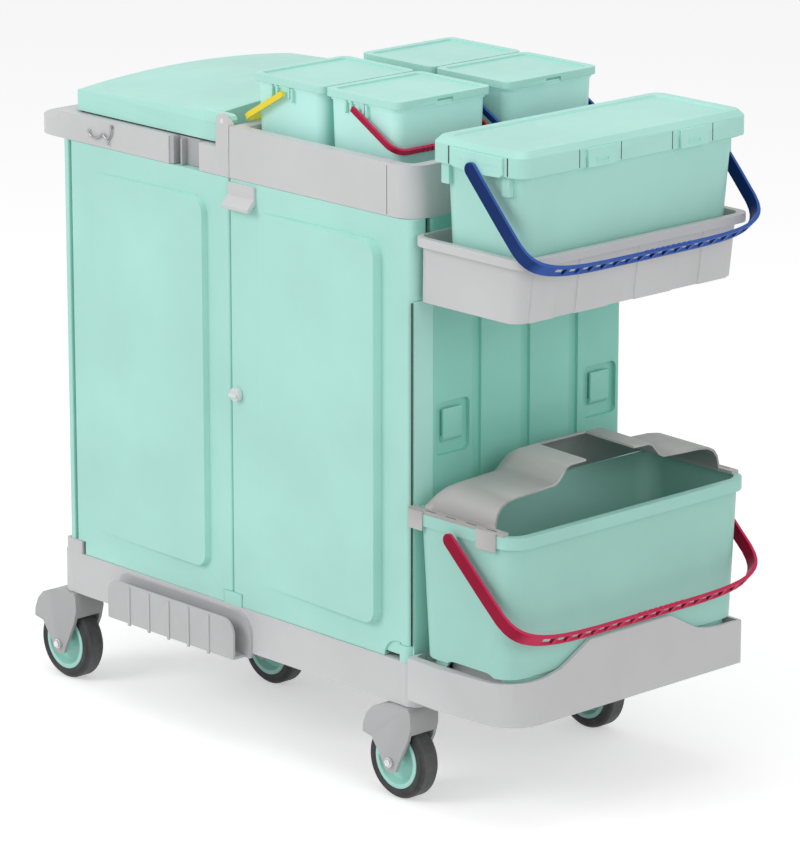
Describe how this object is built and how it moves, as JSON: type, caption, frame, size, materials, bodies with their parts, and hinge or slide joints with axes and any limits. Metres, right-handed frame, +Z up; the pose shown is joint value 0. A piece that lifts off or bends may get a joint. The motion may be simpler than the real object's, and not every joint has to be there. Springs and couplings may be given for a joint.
{
  "type": "janitor cart",
  "caption": "Cleaning trolley: two-door cabinet on swivel casters, bag bay under a hinged dome lid, top tray of lidded buckets and two large bail buckets at one end.",
  "frame": {"origin": "middle of the overall footprint, on the floor", "axes": "+X along the cart toward the large buckets, -Y toward the doors, +Z up"},
  "size_m": [1.1938, 0.555, 1.096],
  "materials": {
    "mint": "moulded pale mint plastic",
    "grey": "moulded light grey plastic",
    "hood_grey": "smooth mid grey plastic",
    "clip_grey": "mid grey plastic",
    "frame_dark": "dark plastic",
    "steel": "bright steel",
    "wire": "bent steel wire",
    "tyre": "dark grey rubber",
    "yellow": "yellow plastic",
    "red": "crimson plastic",
    "green": "green plastic",
    "blue": "blue plastic",
    "knob": "pale grey plastic"
  },
  "bodies": {
    "frame": {"base_deck": "grey", "bucket_platform": "grey", "caster_stems": "steel", "mop_pocket": "grey", "door_feet": "mint", "left_hinge_foot": "grey", "hinge_pins": "steel", "left_end_panel": "mint", "back_panel": "mint", "divider_panel": "mint", "end_panel": "mint", "top_rail": "grey", "bag_frame": "frame_dark", "rail_clip": "clip_grey", "wire_hook": "wire", "top_tray": "grey", "bucket_holder": "grey"},
    "left_door": {"left_door": "mint"},
    "right_door": {"right_door": "mint", "door_pull": "grey"},
    "lock_knob": {"lock_knob": "knob"},
    "dome_lid": {"dome_lid": "mint"},
    "small_bucket_1": {"small_bucket_1": "mint"},
    "small_lid_1": {"small_lid_1": "mint"},
    "small_bail_1": {"small_bail_1": "yellow"},
    "small_bucket_2": {"small_bucket_2": "mint"},
    "small_lid_2": {"small_lid_2": "mint"},
    "small_bail_2": {"small_bail_2": "red"},
    "small_bucket_3": {"small_bucket_3": "mint"},
    "small_lid_3": {"small_lid_3": "mint"},
    "small_bail_3": {"small_bail_3": "green"},
    "small_bucket_4": {"small_bucket_4": "mint"},
    "small_lid_4": {"small_lid_4": "mint"},
    "small_bail_4": {"small_bail_4": "blue"},
    "upper_bucket": {"upper_bucket": "mint"},
    "upper_lid": {"upper_lid": "mint"},
    "upper_bail": {"upper_bail": "blue"},
    "lower_bucket": {"lower_bucket": "mint"},
    "splash_hood": {"splash_hood": "hood_grey"},
    "lower_bail": {"lower_bail": "red"},
    "caster_1": {"caster_fork_1": "grey", "caster_axle_1": "steel"},
    "wheel_1": {"wheel_hub_1": "mint", "tyre_1": "tyre"},
    "caster_2": {"caster_fork_2": "grey", "caster_axle_2": "steel"},
    "wheel_2": {"wheel_hub_2": "mint", "tyre_2": "tyre"},
    "caster_3": {"caster_fork_3": "grey", "caster_axle_3": "steel"},
    "wheel_3": {"wheel_hub_3": "mint", "tyre_3": "tyre"},
    "caster_4": {"caster_fork_4": "grey", "caster_axle_4": "steel"},
    "wheel_4": {"wheel_hub_4": "mint", "tyre_4": "tyre"},
    "caster_5": {"caster_fork_5": "grey", "caster_axle_5": "steel"},
    "wheel_5": {"wheel_hub_5": "mint", "tyre_5": "tyre"}
  },
  "joints": [
    {"name": "left_door_hinge", "type": "hinge", "parent": "frame", "child": "left_door", "pos_m": [-0.4815, -0.238, 0.58], "axis": [0, 0, -1], "range_deg": [0, 100]},
    {"name": "right_door_hinge", "type": "hinge", "parent": "frame", "child": "right_door", "pos_m": [0.31, -0.235, 0.58], "axis": [0, 0, 1], "range_deg": [0, 90]},
    {"name": "lock_turn", "type": "hinge", "parent": "right_door", "child": "lock_knob", "pos_m": [-0.077, -0.247, 0.582], "axis": [0, 1, 0], "range_deg": [0, 90]},
    {"name": "dome_lid_hinge", "type": "hinge", "parent": "frame", "child": "dome_lid", "pos_m": [-0.111, 0, 1.017], "axis": [0, 1, 0], "range_deg": [0, 80]},
    {"name": "small_bucket_1_lift", "type": "slide", "parent": "frame", "child": "small_bucket_1", "axis": [0, 0, 1], "range_m": [0, 0.18]},
    {"name": "small_lid_1_lift", "type": "slide", "parent": "small_bucket_1", "child": "small_lid_1", "axis": [0, 0, 1], "range_m": [0, 0.055]},
    {"name": "small_bail_1_swing", "type": "hinge", "parent": "small_bucket_1", "child": "small_bail_1", "pos_m": [-0.002, -0.116, 1.071], "axis": [0, 1, 0], "range_deg": [0, 120]},
    {"name": "small_bucket_2_lift", "type": "slide", "parent": "frame", "child": "small_bucket_2", "axis": [0, 0, 1], "range_m": [0, 0.18]},
    {"name": "small_lid_2_lift", "type": "slide", "parent": "small_bucket_2", "child": "small_lid_2", "axis": [0, 0, 1], "range_m": [0, 0.055]},
    {"name": "small_bail_2_swing", "type": "hinge", "parent": "small_bucket_2", "child": "small_bail_2", "pos_m": [0.168, -0.116, 1.071], "axis": [0, -1, 0], "range_deg": [0, 120]},
    {"name": "small_bucket_3_lift", "type": "slide", "parent": "frame", "child": "small_bucket_3", "axis": [0, 0, 1], "range_m": [0, 0.18]},
    {"name": "small_lid_3_lift", "type": "slide", "parent": "small_bucket_3", "child": "small_lid_3", "axis": [0, 0, 1], "range_m": [0, 0.055]},
    {"name": "small_bail_3_swing", "type": "hinge", "parent": "small_bucket_3", "child": "small_bail_3", "pos_m": [-0.002, 0.116, 1.071], "axis": [0, 1, 0], "range_deg": [0, 120]},
    {"name": "small_bucket_4_lift", "type": "slide", "parent": "frame", "child": "small_bucket_4", "axis": [0, 0, 1], "range_m": [0, 0.18]},
    {"name": "small_lid_4_lift", "type": "slide", "parent": "small_bucket_4", "child": "small_lid_4", "axis": [0, 0, 1], "range_m": [0, 0.055]},
    {"name": "small_bail_4_swing", "type": "hinge", "parent": "small_bucket_4", "child": "small_bail_4", "pos_m": [0.168, 0.116, 1.071], "axis": [0, -1, 0], "range_deg": [0, 120]},
    {"name": "upper_bucket_lift", "type": "slide", "parent": "frame", "child": "upper_bucket", "axis": [0, 0, 1], "range_m": [0, 0.2]},
    {"name": "upper_lid_lift", "type": "slide", "parent": "upper_bucket", "child": "upper_lid", "axis": [0, 0, 1], "range_m": [0, 0.1]},
    {"name": "upper_bail_swing", "type": "hinge", "parent": "upper_bucket", "child": "upper_bail", "pos_m": [0.457, 0, 1.031], "axis": [0, -1, 0], "range_deg": [0, 134]},
    {"name": "lower_bucket_lift", "type": "slide", "parent": "frame", "child": "lower_bucket", "axis": [0, 0, 1], "range_m": [0, 0.1]},
    {"name": "splash_hood_lift", "type": "slide", "parent": "lower_bucket", "child": "splash_hood", "axis": [0, 0, 1], "range_m": [0, 0.07]},
    {"name": "lower_bail_swing", "type": "hinge", "parent": "lower_bucket", "child": "lower_bail", "pos_m": [0.433, 0, 0.4575], "axis": [0, -1, 0], "range_deg": [0, 128]},
    {"name": "swivel_1", "type": "hinge", "parent": "frame", "child": "caster_1", "pos_m": [0.312, -0.227, 0.15], "axis": [0, 0, 1], "continuous": true},
    {"name": "wheel_1_roll", "type": "hinge", "parent": "caster_1", "child": "wheel_1", "pos_m": [0.286, -0.227, 0.0625], "axis": [0, 1, 0], "continuous": true},
    {"name": "swivel_2", "type": "hinge", "parent": "frame", "child": "caster_2", "pos_m": [0.274, 0.227, 0.15], "axis": [0, 0, 1], "continuous": true},
    {"name": "wheel_2_roll", "type": "hinge", "parent": "caster_2", "child": "wheel_2", "pos_m": [0.248, 0.227, 0.0625], "axis": [0, 1, 0], "continuous": true},
    {"name": "swivel_3", "type": "hinge", "parent": "frame", "child": "caster_3", "pos_m": [-0.503, -0.227, 0.15], "axis": [0, 0, 1], "continuous": true},
    {"name": "wheel_3_roll", "type": "hinge", "parent": "caster_3", "child": "wheel_3", "pos_m": [-0.529, -0.227, 0.0625], "axis": [0, 1, 0], "continuous": true},
    {"name": "swivel_4", "type": "hinge", "parent": "frame", "child": "caster_4", "pos_m": [-0.503, 0.227, 0.15], "axis": [0, 0, 1], "continuous": true},
    {"name": "wheel_4_roll", "type": "hinge", "parent": "caster_4", "child": "wheel_4", "pos_m": [-0.529, 0.227, 0.0625], "axis": [0, 1, 0], "continuous": true},
    {"name": "swivel_5", "type": "hinge", "parent": "frame", "child": "caster_5", "pos_m": [-0.247, 0, 0.15], "axis": [0, 0, 1], "continuous": true},
    {"name": "wheel_5_roll", "type": "hinge", "parent": "caster_5", "child": "wheel_5", "pos_m": [-0.273, 0, 0.0625], "axis": [0, 1, 0], "continuous": true}
  ]
}
